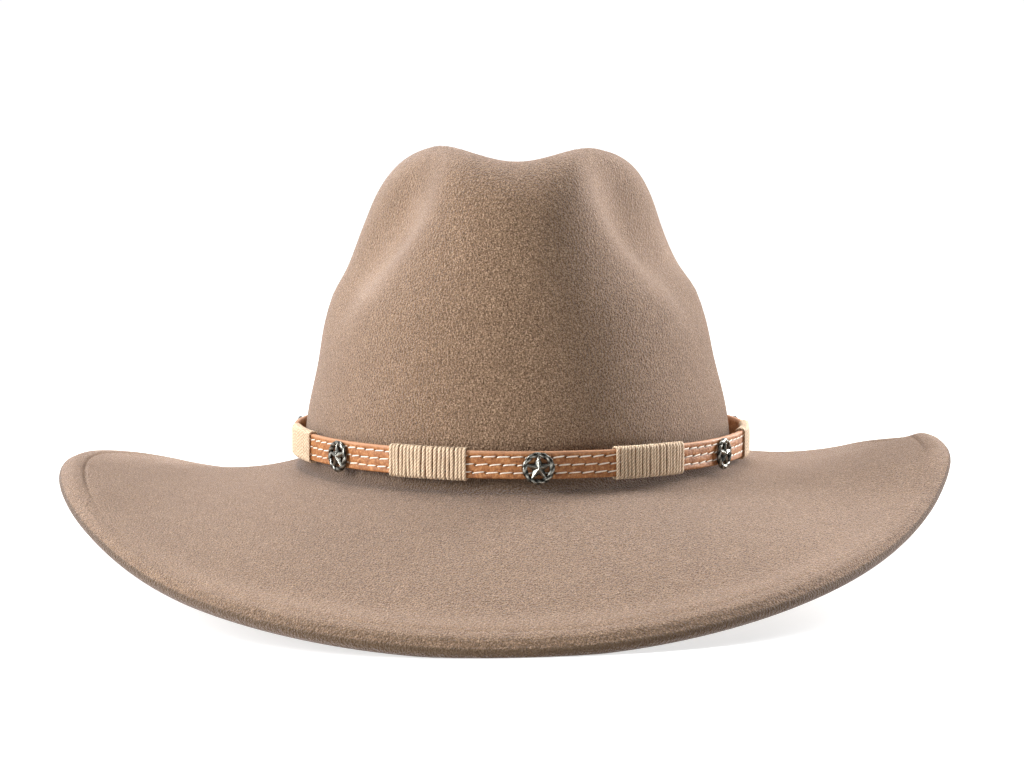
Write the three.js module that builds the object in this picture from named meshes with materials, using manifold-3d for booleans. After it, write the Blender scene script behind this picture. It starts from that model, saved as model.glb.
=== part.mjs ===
// A pinch-front felt hat with a wide brim and a leather band.
// Millimetres, +Z up, front of the hat toward -Y. The hat rests on the front and back of its brim.
// The felt is worked out in the hat's own frame, where z = 0 is the plane in which crown and brim meet,
// and is then laid on the ground.

import * as THREE from 'three';
import { mergeVertices } from 'three/addons/utils/BufferGeometryUtils.js';
import Module from 'manifold-3d';

const wasm = await Module();
wasm.setup();

// Felt body
const crownFootWidth = 173;
const crownFootLength = 209;
const crownHeight = 125.5;
const brimWidth = 100;
const feltThickness = 2.5;
const breakRadius = 5;
const weltWidth = 10;
const weltTurn = 2.6;
const weltPull = 0.6;
const weltUnderShare = 0.8;
const rimThickness = 4.4;
const restFlat = 1.1;

// Crease along the top and the two pinches at the front
const creaseDepth = 19;
const creaseHalfWidth = 32;
const creaseShift = 0.7;
const topLean = 0.036;
const shoulderRadius = 22.3;
const shoulderFall = 0.15;
const pinchDepth = 14;
const pinchRadius = 15;
const pinchRunUp = 0.3;
const pinchInner = 0.26;
const pinchOuter = 0.50;

// Band: leather strap, cord wraps and conchos
const strapHeight = 10.3;
const strapThickness = 1.8;
const strapRounding = 0.54;
const bandLift = 4.1;
const bandLeanDegrees = 1.1;
const bandPitchDegrees = -0.5;
const bandShift = 1.3;
const stationCount = 14;
const stationTurn = 8;
const wrapLength = 32.6;
const cordThickness = 0.9;
const wrapChamferShare = 0.55;
const fitGap = 0.25;
const feltGap = 0.9;
const conchoDiameter = 12.4;
const conchoThickness = 2.2;
const conchoDrop = 1;
const conchoRopeWidth = 2.2;
const conchoRopeHeight = 1.76;
const starPoints = 5;
const starWaistShare = 0.36;
const starShoulder = 1.1;
const starBase = 0.44;

// Wall of the crown: a row for each height, half widths and half lengths as shares of the foot's
const WALL_ROWS = [
  { height: 0.00, left: 1.000, right: 1.000, front: 1.000, back: 1.000 },
  { height: 0.16, left: 0.978, right: 0.978, front: 0.975, back: 0.980 },
  { height: 0.32, left: 0.926, right: 0.925, front: 0.940, back: 0.955 },
  { height: 0.46, left: 0.887, right: 0.882, front: 0.905, back: 0.925 },
  { height: 0.54, left: 0.850, right: 0.842, front: 0.885, back: 0.905 },
  { height: 0.62, left: 0.785, right: 0.764, front: 0.865, back: 0.885 },
  { height: 0.74, left: 0.713, right: 0.689, front: 0.835, back: 0.850 },
  { height: 0.86, left: 0.641, right: 0.642, front: 0.800, back: 0.810 },
  { height: 1.00, left: 0.562, right: 0.620, front: 0.760, back: 0.770 },
];

// Brim: a row for each direction, in degrees from the front toward +X.
// Reach and edge height are shares of the brim width; the slopes are rise over run.
const BRIM_ROWS = [
  { angle: -180, reach: 0.920, edge: -0.400, slopeIn: -0.28, slopeOut: -0.44 },
  { angle: -145, reach: 0.940, edge: -0.344, slopeIn: -0.26, slopeOut: -0.35 },
  { angle: -125, reach: 0.950, edge: -0.106, slopeIn: -0.50, slopeOut: 0.12 },
  { angle: -108, reach: 0.980, edge: 0.003, slopeIn: -0.33, slopeOut: 0.22 },
  { angle: -90, reach: 0.976, edge: 0.039, slopeIn: -0.28, slopeOut: 0.16 },
  { angle: -76, reach: 0.974, edge: -0.003, slopeIn: -0.25, slopeOut: 0.10 },
  { angle: -63, reach: 0.963, edge: -0.094, slopeIn: -0.18, slopeOut: 0.05 },
  { angle: -37, reach: 0.957, edge: -0.285, slopeIn: -0.28, slopeOut: -0.34 },
  { angle: 0, reach: 0.908, edge: -0.406, slopeIn: -0.34, slopeOut: -0.52 },
  { angle: 37, reach: 0.879, edge: -0.274, slopeIn: -0.28, slopeOut: -0.34 },
  { angle: 63, reach: 0.874, edge: -0.079, slopeIn: -0.18, slopeOut: 0.12 },
  { angle: 76, reach: 0.878, edge: 0.044, slopeIn: -0.22, slopeOut: 0.14 },
  { angle: 90, reach: 0.845, edge: 0.080, slopeIn: -0.30, slopeOut: 0.18 },
  { angle: 108, reach: 0.897, edge: 0.009, slopeIn: -0.34, slopeOut: 0.22 },
  { angle: 125, reach: 0.900, edge: -0.085, slopeIn: -0.29, slopeOut: 0.12 },
  { angle: 145, reach: 0.910, edge: -0.327, slopeIn: -0.26, slopeOut: -0.35 },
];

// Top of the crown along its length: places as shares of the foot's half length, heights as shares
// of the crown height, and what is left of the crease's depth there
const TOP_ENDS = {
  front: { from: 0.031, to: 0.677, rise: 0.034, crease: 0.364 },
  back: { from: 0.287, to: 0.813, rise: -0.040, crease: 0.20 },
};

// The pinch runs from its upper to its lower end, on both sides alike. Lengthwise places are shares
// of the foot's half length, heights of the crown height, depths of the pinch depth. It fades in
// sideways between the inner and the outer share of the foot's half width.
const PINCH = {
  upper: { along: -0.536, height: 0.900, depth: 1.00 },
  lower: { along: -0.344, height: 0.600, depth: 0.40 },
};

// Pieces that sit a little off their even place along the strap
const BAND_SHIFTS = [
  { piece: 'concho_1', along: -1.7 },
  { piece: 'concho_6', along: -8 },
  { piece: 'cord_wrap_6', along: 3 },
];

// Rim section, from the upper edge round to the underside: outward and down, as shares of the rim thickness
const RIM_POINTS = [
  { outward: 0.10, down: 0.45 },
  { outward: -0.18, down: 0.92 },
  { outward: -0.85, down: 0.95 },
];

// The crown's inner line, from which its surface is measured
const spineHalfLength = 0.536 * crownFootLength / 2;
const domeHeight = 0.494 * crownHeight;

// Mesh steps
const aroundSteps = 64;
const wallSteps = 4;
const domeSteps = 12;
const domeCrowding = 0.8;
const breakSteps = 3;
const brimSteps = 6;
const searchSteps = 40;
const bandPathSteps = 720;
const strapStepsPerStation = 5;
const wrapSteps = 5;
const ropeSteps = 20;
const ropeSides = 5;

const footHalfWidth = crownFootWidth / 2;
const footHalfLength = crownFootLength / 2;

function smoothStep(value) {
  const t = Math.min(Math.max(value, 0), 1);
  return t * t * (3 - 2 * t);
}

// Smooth curve through one column of a table
function sampleRows(rows, key, column, at) {
  const last = rows.length - 1;
  const place = Math.min(Math.max(at, rows[0][key]), rows[last][key]);
  let low = 0;
  while (low < last - 1 && rows[low + 1][key] <= place) low += 1;
  const slope = (i) => (rows[i + 1][column] - rows[i][column]) / (rows[i + 1][key] - rows[i][key]);
  const tangent = (i) => {
    if (i === 0) return slope(0);
    if (i === last) return slope(last - 1);
    const before = rows[i][key] - rows[i - 1][key];
    const after = rows[i + 1][key] - rows[i][key];
    return (after * slope(i - 1) + before * slope(i)) / (before + after);
  };
  const span = rows[low + 1][key] - rows[low][key];
  const t = (place - rows[low][key]) / span;
  return hermite(rows[low][column], rows[low + 1][column], tangent(low) * span, tangent(low + 1) * span, t);
}

function hermite(start, end, startSlope, endSlope, t) {
  const rest = 1 - t;
  return start * (1 + 2 * t) * rest * rest + end * t * t * (3 - 2 * t)
    + startSlope * t * rest * rest - endSlope * t * t * rest;
}

// The table carried on past both its ends, so that the curve closes
const brimLoop = [
  { ...BRIM_ROWS.at(-1), angle: BRIM_ROWS.at(-1).angle - 360 },
  ...BRIM_ROWS,
  { ...BRIM_ROWS[0], angle: BRIM_ROWS[0].angle + 360 },
  { ...BRIM_ROWS[1], angle: BRIM_ROWS[1].angle + 360 },
];

function softMin(a, b, radius) {
  const h = Math.max(radius - Math.abs(a - b), 0) / radius;
  return Math.min(a, b) - h * h * radius / 4;
}

// Height of the top sheet, with its crease and the two ridges beside it
function topHeight(x, y) {
  const front = TOP_ENDS.front;
  const back = TOP_ENDS.back;
  const toFront = smoothStep((-y / footHalfLength - front.from) / (front.to - front.from));
  const toBack = smoothStep((y / footHalfLength - back.from) / (back.to - back.from));
  const ridge = crownHeight * (1 + front.rise * toFront + back.rise * toBack);
  const depth = creaseDepth * (1 - (1 - front.crease) * toFront) * (1 - (1 - back.crease) * toBack);
  const side = Math.abs(x - creaseShift);
  const across = Math.min(side / creaseHalfWidth, 1);
  const beyond = Math.max(side - creaseHalfWidth, 0);
  const fall = shoulderFall * beyond * beyond / creaseHalfWidth;
  return ridge - depth * (1 + Math.cos(Math.PI * across)) / 2 - fall - topLean * x;
}

// How far the pinch pushes the wall in
function pinchAt(x, y, z) {
  const upper = PINCH.upper;
  const lower = PINCH.lower;
  const y0 = upper.along * footHalfLength;
  const z0 = upper.height * crownHeight;
  const runY = (lower.along - upper.along) * footHalfLength;
  const runZ = (lower.height - upper.height) * crownHeight;
  const t = ((y - y0) * runY + (z - z0) * runZ) / (runY * runY + runZ * runZ);
  const onLine = Math.min(Math.max(t, -pinchRunUp), 1);
  const offY = y - y0 - onLine * runY;
  const offZ = z - z0 - onLine * runZ;
  const near = Math.exp(-(offY * offY + offZ * offZ) / (pinchRadius * pinchRadius));
  const share = upper.depth + (lower.depth - upper.depth) * Math.max(onLine, 0);
  const side = smoothStep((Math.abs(x) / footHalfWidth - pinchInner) / (pinchOuter - pinchInner));
  return pinchDepth * share * near * side;
}

// Depth of a point inside the crown's outer surface
function crownDepth(x, y, z) {
  const height = z / crownHeight;
  const halfWidth = footHalfWidth * sampleRows(WALL_ROWS, 'height', x < 0 ? 'left' : 'right', height);
  const halfLength = footHalfLength * sampleRows(WALL_ROWS, 'height', y < 0 ? 'front' : 'back', height);
  const ratio = Math.hypot(x / halfWidth, y / halfLength);
  const radius = ratio > 1e-6 ? Math.hypot(x, y) / ratio : halfWidth;
  const wall = (1 - ratio) * radius - pinchAt(x, y, z);
  return softMin(wall, topHeight(x, y) - z, shoulderRadius);
}

// Point at a given depth under the crown's surface, on a ray from inside
function crownPoint(from, direction, depth) {
  let near = 0;
  let far = crownFootLength;
  const point = new THREE.Vector3();
  for (let i = 0; i < searchSteps; i += 1) {
    const middle = (near + far) / 2;
    point.copy(from).addScaledVector(direction, middle);
    if (crownDepth(point.x, point.y, point.z) > depth) near = middle;
    else far = middle;
  }
  return point.copy(from).addScaledVector(direction, near);
}

const footPoint = (angle) => new THREE.Vector3(
  footHalfWidth * Math.sin(angle), -footHalfLength * Math.cos(angle), 0);

const footNormal = (angle) => new THREE.Vector3(
  Math.sin(angle) / footHalfWidth, -Math.cos(angle) / footHalfLength, 0).normalize();

const spinePoint = (angle, height) => new THREE.Vector3(0, -spineHalfLength * Math.cos(angle), height);

function wallPoint(angle, height, depth) {
  const spine = spinePoint(angle, 0);
  const outward = footPoint(angle).sub(spine).normalize();
  return crownPoint(spine.setZ(height), outward, depth);
}

function domePoint(angle, tilt, depth) {
  const spine = spinePoint(angle, 0);
  const outward = footPoint(angle).sub(spine).normalize();
  const direction = outward.multiplyScalar(Math.cos(tilt)).setZ(Math.sin(tilt));
  return crownPoint(spine.setZ(domeHeight), direction, depth);
}

// Brim section in one direction: distance outward and height, at a share of the way to the edge
function brimSection(angle) {
  const degrees = THREE.MathUtils.euclideanModulo(THREE.MathUtils.radToDeg(angle) + 180, 360) - 180;
  const read = (column) => sampleRows(brimLoop, 'angle', column, degrees);
  const reach = read('reach') * brimWidth;
  const edge = read('edge') * brimWidth;
  const slopeIn = read('slopeIn');
  const slopeOut = read('slopeOut');
  const run = reach - breakRadius;
  const at = (share) => {
    const out = breakRadius + run * share;
    const turned = Math.max((out - (reach - weltWidth)) / weltWidth, 0);
    const height = hermite(slopeIn * breakRadius, edge, slopeIn * run, slopeOut * run, share);
    return { out: out - weltPull * turned * turned, height: height - weltTurn * turned * turned };
  };
  return { at, slopeIn, weltShare: (run - weltWidth) / run };
}

const onFoot = (angle, out, height) => footPoint(angle).addScaledVector(footNormal(angle), out).setZ(height);

// Underside point: the upper surface moved square to itself by the felt's thickness
function underPoint(angle, section, share, thickness) {
  const step = 1e-3;
  const here = section.at(share);
  const next = section.at(share + step);
  const length = Math.hypot(next.out - here.out, next.height - here.height);
  const outward = (next.height - here.height) / length;
  const down = (next.out - here.out) / length;
  return onFoot(angle, here.out + outward * thickness, here.height - down * thickness);
}

function bend(start, corner, end, t) {
  return new THREE.Vector3()
    .addScaledVector(start, (1 - t) * (1 - t))
    .addScaledVector(corner, 2 * t * (1 - t))
    .addScaledVector(end, t * t);
}

// One line of the felt's skin, from the top of the crown out to the rim and back under to the top
function feltMeridian(angle) {
  const section = brimSection(angle);
  const line = [];
  const climb = (depth) => {
    const points = [];
    for (let i = 0; i < domeSteps; i += 1) {
      points.push(domePoint(angle, Math.PI / 2 * (1 - i / domeSteps) ** domeCrowding, depth));
    }
    for (let i = 0; i <= wallSteps; i += 1) {
      points.push(wallPoint(angle, domeHeight + (breakRadius - domeHeight) * i / wallSteps, depth));
    }
    return points;
  };
  const shares = [];
  for (let i = 0; i < brimSteps; i += 1) shares.push(section.weltShare * i / (brimSteps - 1));
  shares.push((1 + section.weltShare) / 2);

  line.push(...climb(0));
  const brimStart = section.at(0);
  const outerStart = onFoot(angle, brimStart.out, brimStart.height);
  for (let i = 1; i < breakSteps; i += 1) {
    line.push(bend(wallPoint(angle, breakRadius, 0), footPoint(angle), outerStart, i / breakSteps));
  }
  for (const share of [...shares, 1]) {
    const place = section.at(share);
    line.push(onFoot(angle, place.out, place.height));
  }

  const edge = section.at(1);
  for (const point of RIM_POINTS) {
    line.push(onFoot(angle, edge.out + point.outward * rimThickness, edge.height - point.down * rimThickness));
  }
  for (const share of shares.toReversed()) {
    const inWelt = share >= section.weltShare;
    line.push(underPoint(angle, section, share, inWelt ? rimThickness * weltUnderShare : feltThickness));
  }
  const innerStart = underPoint(angle, section, 0, feltThickness);
  const innerCorner = onFoot(angle, -feltThickness, -feltThickness);
  for (let i = breakSteps - 1; i > 0; i -= 1) {
    line.push(bend(wallPoint(angle, breakRadius, feltThickness), innerCorner, innerStart, i / breakSteps));
  }
  line.push(...climb(feltThickness).toReversed());
  return line;
}

// Closed skin over lines of points that run side by side all the way round
function skinGeometry(lines) {
  const count = lines[0].length;
  const positions = [];
  const addTriangle = (a, b, c) => positions.push(a.x, a.y, a.z, b.x, b.y, b.z, c.x, c.y, c.z);
  lines.forEach((line, i) => {
    const next = lines[(i + 1) % lines.length];
    for (let k = 0; k < count - 1; k += 1) {
      const a = line[k];
      const b = line[k + 1];
      const c = next[k + 1];
      const d = next[k];
      if (a.distanceTo(c) < b.distanceTo(d)) {
        addTriangle(a, b, c);
        addTriangle(a, c, d);
      } else {
        addTriangle(a, b, d);
        addTriangle(b, c, d);
      }
    }
  });
  const geometry = new THREE.BufferGeometry();
  geometry.setAttribute('position', new THREE.Float32BufferAttribute(positions, 3));
  return tidyGeometry(geometry);
}

// Vertices that coincide become one, and triangles with no area are left out
function tidyGeometry(geometry) {
  geometry.deleteAttribute('normal');
  geometry.deleteAttribute('uv');
  const merged = mergeVertices(geometry, 1e-4);
  const index = merged.getIndex().array;
  const kept = [];
  for (let i = 0; i < index.length; i += 3) {
    const [a, b, c] = [index[i], index[i + 1], index[i + 2]];
    if (a !== b && b !== c && c !== a) kept.push(a, b, c);
  }
  merged.setIndex(kept);
  merged.computeVertexNormals();
  return merged;
}

// Where the hat comes to rest: the tilt that brings front and back of the rim down together, and the
// lift that lets the ground flatten the felt by a little
function findRest(points) {
  const lower = (a, b) => (b.z < a.z ? b : a);
  const front = points.filter((p) => p.y < 0).reduce(lower);
  const back = points.filter((p) => p.y > 0).reduce(lower);
  const tilt = -Math.atan2(back.z - front.z, back.y - front.y);
  const turned = points.map((p) => p.clone().applyAxisAngle(new THREE.Vector3(1, 0, 0), tilt));
  const box = new THREE.Box3().setFromPoints(turned);
  const middle = box.getCenter(new THREE.Vector3());
  return { tilt, offset: new THREE.Vector3(-middle.x, -middle.y, -box.min.z - restFlat) };
}

function feltBody(material) {
  const lines = [];
  for (let i = 0; i < aroundSteps; i += 1) lines.push(feltMeridian(2 * Math.PI * i / aroundSteps));
  const rest = findRest(lines.flat());
  for (const point of lines.flat()) {
    point.applyAxisAngle(new THREE.Vector3(1, 0, 0), rest.tilt).add(rest.offset);
    point.z = Math.max(point.z, 0);
  }
  const mesh = new THREE.Mesh(skinGeometry(lines), material);
  mesh.name = 'felt_body';
  return { mesh, rest };
}

// The strap's oval: inner half sizes leave room for the cord between strap and felt
const cordRoom = feltGap + cordThickness + fitGap;
const bandHalfWidth = footHalfWidth + cordRoom + bandShift + strapThickness / 2;
const bandHalfLength = footHalfLength + cordRoom + strapThickness / 2;
const bandHeight = bandLift + strapHeight / 2;

// Places along the middle of the strap, by length from the front toward +X
function makeBandPath() {
  const steps = bandPathSteps;
  const lengths = [0];
  const point = (angle) => new THREE.Vector3(
    bandShift + bandHalfWidth * Math.sin(angle), -bandHalfLength * Math.cos(angle), 0);
  for (let i = 1; i <= steps; i += 1) {
    const step = point(2 * Math.PI * i / steps).distanceTo(point(2 * Math.PI * (i - 1) / steps));
    lengths.push(lengths[i - 1] + step);
  }
  const total = lengths[steps];
  const place = (length) => {
    const at = THREE.MathUtils.euclideanModulo(length, total);
    let i = 0;
    while (lengths[i + 1] < at) i += 1;
    const angle = 2 * Math.PI * (i + (at - lengths[i]) / (lengths[i + 1] - lengths[i])) / steps;
    const outward = new THREE.Vector3(
      Math.sin(angle) / bandHalfWidth, -Math.cos(angle) / bandHalfLength, 0).normalize();
    return { position: point(angle), outward };
  };
  return { total, place };
}

const bandPath = makeBandPath();
const stationStep = bandPath.total / stationCount;
const shiftOf = (piece) => BAND_SHIFTS.find((row) => row.piece === piece)?.along ?? 0;
const stationLength = (index, piece) => stationTurn + index * stationStep + shiftOf(piece);

// Closed solid swept along the band: the section is a loop of outward and upward distances
function sweepAlongBand(section, start, end, steps, closed) {
  const lines = [];
  const count = closed ? steps : steps + 1;
  for (let i = 0; i < count; i += 1) {
    const { position, outward } = bandPath.place(start + (end - start) * i / steps);
    lines.push(section.map(([out, up]) => position.clone().addScaledVector(outward, out).setZ(up)));
  }
  return lines;
}

function bandStrap(material) {
  const out = strapThickness / 2;
  const up = strapHeight / 2;
  const round = strapRounding;
  const section = [
    [out - round, -up], [-out, -up], [-out, up], [out - round, up], [out, up - round], [out, -up + round],
  ];
  const steps = strapStepsPerStation * stationCount;
  const rings = sweepAlongBand(section, 0, bandPath.total, steps, true);
  const lines = rings.map((ring) => [...ring, ring[0]]);
  const mesh = new THREE.Mesh(skinGeometry(lines), material);
  mesh.name = 'band_strap';
  return mesh;
}

// Rounded box section round the strap, at a distance from it
function wrapSection(distance) {
  const out = strapThickness / 2 + distance;
  const up = strapHeight / 2 + distance;
  const cut = wrapChamferShare * distance;
  return [
    [out, -up + cut], [out, up - cut], [out - cut, up], [-out + cut, up],
    [-out, up - cut], [-out, -up + cut], [-out + cut, -up], [out - cut, -up],
  ];
}

function cordWrap(index, station, material) {
  const middle = stationLength(station, `cord_wrap_${index}`);
  const start = middle - wrapLength / 2;
  const end = middle + wrapLength / 2;
  const outer = sweepAlongBand(wrapSection(fitGap + cordThickness), start, end, wrapSteps, false);
  const inner = sweepAlongBand(wrapSection(fitGap), start, end, wrapSteps, false);
  const sides = outer[0].length;
  const lines = [];
  for (let k = 0; k < sides; k += 1) {
    const line = outer.map((ring) => ring[k]);
    line.push(...inner.map((ring) => ring[k]).toReversed(), outer[0][k]);
    lines.push(line);
  }
  const mesh = new THREE.Mesh(skinGeometry(lines), material);
  mesh.name = `cord_wrap_${index}`;
  return mesh;
}

// Rope ring: a many-sided section that turns as it goes round
function ropeRing(radius, thickness) {
  const turnPerStep = Math.PI / ropeSides;
  const lines = [];
  for (let i = 0; i < ropeSteps; i += 1) {
    const around = 2 * Math.PI * i / ropeSteps;
    const line = [];
    for (let k = 0; k <= ropeSides; k += 1) {
      const spin = turnPerStep * i - 2 * Math.PI * k / ropeSides;
      const reach = radius + conchoRopeWidth / 2 * Math.cos(spin);
      line.push(new THREE.Vector3(
        reach * Math.cos(around), reach * Math.sin(around), thickness / 2 * (1 + Math.sin(spin))));
    }
    lines.push(line);
  }
  return skinGeometry(lines);
}

// Star with a ridge along each arm
function starPlate(radius, thickness) {
  const peak = new THREE.Vector3(0, 0, thickness);
  const bottom = new THREE.Vector3(0, 0, starBase);
  const lines = [];
  for (let i = 0; i < 2 * starPoints; i += 1) {
    const angle = Math.PI / 2 + Math.PI * i / starPoints;
    const reach = i % 2 === 0 ? radius : starWaistShare * radius;
    const corner = new THREE.Vector3(reach * Math.cos(angle), reach * Math.sin(angle), 0);
    lines.push([peak, corner.clone().setZ(starShoulder), corner.clone().setZ(starBase), bottom]);
  }
  return skinGeometry(lines);
}

function toSolid(geometry) {
  return new wasm.Manifold(new wasm.Mesh({
    numProp: 3,
    vertProperties: new Float32Array(geometry.getAttribute('position').array),
    triVerts: new Uint32Array(geometry.getIndex().array),
  }));
}

function fromSolid(solid) {
  const mesh = solid.getMesh();
  const geometry = new THREE.BufferGeometry();
  geometry.setAttribute('position', new THREE.Float32BufferAttribute(mesh.vertProperties, 3));
  geometry.setIndex([...mesh.triVerts]);
  return tidyGeometry(geometry);
}

function conchoGeometry() {
  const ropeRadius = (conchoDiameter - conchoRopeWidth) / 2;
  const ring = toSolid(ropeRing(ropeRadius, conchoRopeHeight));
  const star = toSolid(starPlate(ropeRadius, conchoThickness));
  return fromSolid(ring.add(star));
}

// A concho stands with its back to the strap and a star point up
function concho(index, station, geometry, material) {
  const { position, outward } = bandPath.place(stationLength(station, `concho_${index}`));
  const mesh = new THREE.Mesh(geometry, material);
  const up = new THREE.Vector3(0, 0, 1);
  const right = new THREE.Vector3().crossVectors(up, outward);
  mesh.quaternion.setFromRotationMatrix(new THREE.Matrix4().makeBasis(right, up, outward));
  mesh.position.copy(position).addScaledVector(outward, strapThickness / 2 + fitGap).setZ(-conchoDrop);
  mesh.name = `concho_${index}`;
  return mesh;
}

const feltMaterial = new THREE.MeshStandardMaterial({ color: 0x9c8069, roughness: 0.95, metalness: 0 });
const leatherMaterial = new THREE.MeshStandardMaterial({ color: 0xb5713f, roughness: 0.6, metalness: 0 });
const cordMaterial = new THREE.MeshStandardMaterial({ color: 0xe3c79f, roughness: 0.8, metalness: 0 });
const metalMaterial = new THREE.MeshStandardMaterial({ color: 0x77777a, roughness: 0.4, metalness: 1 });

const felt = feltBody(feltMaterial);

const band = new THREE.Group();
band.position.z = bandHeight;
band.rotation.x = THREE.MathUtils.degToRad(bandPitchDegrees);
band.rotation.y = THREE.MathUtils.degToRad(bandLeanDegrees);
band.add(bandStrap(leatherMaterial));
const conchoShape = conchoGeometry();
for (let i = 0; i < stationCount / 2; i += 1) {
  band.add(concho(i + 1, 2 * i, conchoShape, metalMaterial));
  band.add(cordWrap(i + 1, 2 * i + 1, cordMaterial));
}

const settledBand = new THREE.Group();
settledBand.rotation.x = felt.rest.tilt;
settledBand.position.copy(felt.rest.offset);
settledBand.add(band);

const hat = new THREE.Group();
hat.add(felt.mesh, settledBand);

export default hat;
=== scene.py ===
# Looks of the felt hat: felt, stitched strap, cord wraps and conchos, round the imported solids.
# Metres, in the frame of the solids. The hat's own frame, in millimetres, is the one in which
# crown and brim meet at z = 0; settle() lays it on the ground.

import math

import bpy
import numpy as np
from mathutils import Matrix, Vector


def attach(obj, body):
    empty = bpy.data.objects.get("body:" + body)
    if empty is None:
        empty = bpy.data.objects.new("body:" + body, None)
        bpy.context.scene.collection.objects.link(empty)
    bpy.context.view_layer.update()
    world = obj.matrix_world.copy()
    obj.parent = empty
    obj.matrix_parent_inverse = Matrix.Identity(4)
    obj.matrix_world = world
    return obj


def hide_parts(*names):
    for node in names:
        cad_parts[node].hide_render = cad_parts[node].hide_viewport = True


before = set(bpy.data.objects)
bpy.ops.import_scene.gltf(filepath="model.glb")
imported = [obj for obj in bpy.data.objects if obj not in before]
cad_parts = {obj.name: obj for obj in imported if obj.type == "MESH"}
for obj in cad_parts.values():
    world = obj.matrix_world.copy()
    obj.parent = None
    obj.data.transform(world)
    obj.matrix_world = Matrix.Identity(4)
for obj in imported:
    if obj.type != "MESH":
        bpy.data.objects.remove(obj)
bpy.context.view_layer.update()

MM = 0.001
TINY = 1e-6
rng = np.random.default_rng(7)

# Felt body, millimetres
CROWN_FOOT_WIDTH = 173.0
CROWN_FOOT_LENGTH = 209.0
CROWN_HEIGHT = 125.5
BRIM_WIDTH = 100.0
FELT_THICKNESS = 2.5
BREAK_RADIUS = 5.0
WELT_WIDTH = 10.0
WELT_TURN = 2.6
WELT_PULL = 0.6
WELT_UNDER_SHARE = 0.8
RIM_THICKNESS = 4.4
REST_FLAT = 1.1
CREASE_DEPTH = 19.0
CREASE_HALF_WIDTH = 32.0
CREASE_SHIFT = 0.7
TOP_LEAN = 0.036
SHOULDER_RADIUS = 22.3
SHOULDER_FALL = 0.15
PINCH_DEPTH = 14.0
PINCH_RADIUS = 15.0
PINCH_RUN_UP = 0.3
PINCH_INNER = 0.260
PINCH_OUTER = 0.500
FOOT_HALF_WIDTH = CROWN_FOOT_WIDTH / 2
FOOT_HALF_LENGTH = CROWN_FOOT_LENGTH / 2
SPINE_HALF_LENGTH = 0.536 * FOOT_HALF_LENGTH
DOME_HEIGHT = 0.494 * CROWN_HEIGHT

# Wall of the crown: a row for each height, then its reach to each side as shares of the foot's
TO_LEFT, TO_RIGHT, TO_FRONT, TO_BACK = 1, 2, 3, 4
WALL_ROWS = (
    (0.00, 1.000, 1.000, 1.000, 1.000),
    (0.16, 0.978, 0.978, 0.975, 0.980),
    (0.32, 0.926, 0.925, 0.940, 0.955),
    (0.46, 0.887, 0.882, 0.905, 0.925),
    (0.54, 0.850, 0.842, 0.885, 0.905),
    (0.62, 0.785, 0.764, 0.865, 0.885),
    (0.74, 0.713, 0.689, 0.835, 0.850),
    (0.86, 0.641, 0.642, 0.800, 0.810),
    (1.00, 0.562, 0.620, 0.760, 0.770),
)

# Brim: a row for each direction, in degrees from the front toward +X, then the brim's reach and
# the height of its edge as shares of its width, and its slopes at the crown and at the edge
BRIM_REACH, BRIM_EDGE, BRIM_SLOPE_IN, BRIM_SLOPE_OUT = 1, 2, 3, 4
BRIM_ROWS = (
    (-180, 0.920, -0.400, -0.28, -0.44),
    (-145, 0.940, -0.344, -0.26, -0.35),
    (-125, 0.950, -0.106, -0.50, 0.12),
    (-108, 0.980, 0.003, -0.33, 0.22),
    (-90, 0.976, 0.039, -0.28, 0.16),
    (-76, 0.974, -0.003, -0.25, 0.10),
    (-63, 0.963, -0.094, -0.18, 0.05),
    (-37, 0.957, -0.285, -0.28, -0.34),
    (0, 0.908, -0.406, -0.34, -0.52),
    (37, 0.879, -0.274, -0.28, -0.34),
    (63, 0.874, -0.079, -0.18, 0.12),
    (76, 0.878, 0.044, -0.22, 0.14),
    (90, 0.845, 0.080, -0.30, 0.18),
    (108, 0.897, 0.009, -0.34, 0.22),
    (125, 0.900, -0.085, -0.29, 0.12),
    (145, 0.910, -0.327, -0.26, -0.35),
)

# Top of the crown along its length: from, to, rise, crease
TOP_FRONT = (0.031, 0.677, 0.034, 0.364)
TOP_BACK = (0.287, 0.813, -0.040, 0.20)

# Ends of the pinch: along, height, depth
PINCH_UPPER = (-0.536, 0.900, 1.00)
PINCH_LOWER = (-0.344, 0.600, 0.40)

# Band, millimetres
STRAP_HEIGHT = 10.3
STRAP_THICKNESS = 1.8
STRAP_ROUNDING = 0.54
BAND_LIFT = 4.1
BAND_LEAN = math.radians(1.1)
BAND_PITCH = math.radians(-0.5)
BAND_SHIFT = 1.3
STATION_COUNT = 14
STATION_TURN = 8.0
WRAP_LENGTH = 32.6
CORD_THICKNESS = 0.9
FIT_GAP = 0.25
FELT_GAP = 0.9
CONCHO_DIAMETER = 12.4
CONCHO_THICKNESS = 2.2
CONCHO_DROP = 1.0
CONCHO_ROPE_WIDTH = 2.2
CONCHO_ROPE_HEIGHT = 1.76

# Pieces that sit a little off their even place along the strap, millimetres
BAND_SHIFTS = {"concho_1": -1.7, "concho_6": -8.0, "cord_wrap_6": 3.0}


def share_between(value, start, end):
    """0 at the start, 1 at the end, and no further."""
    return np.clip((value - start) / (end - start), 0, 1)


def smooth_between(value, start, end):
    t = share_between(value, start, end)
    return t * t * (3 - 2 * t)


def mixed(start, end, share):
    return start + (end - start) * share


def hermite(start, end, start_slope, end_slope, t):
    rest = 1 - t
    return (
        start * (1 + 2 * t) * rest * rest
        + end * t * t * (3 - 2 * t)
        + start_slope * t * rest * rest
        - end_slope * t * t * rest
    )


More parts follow.
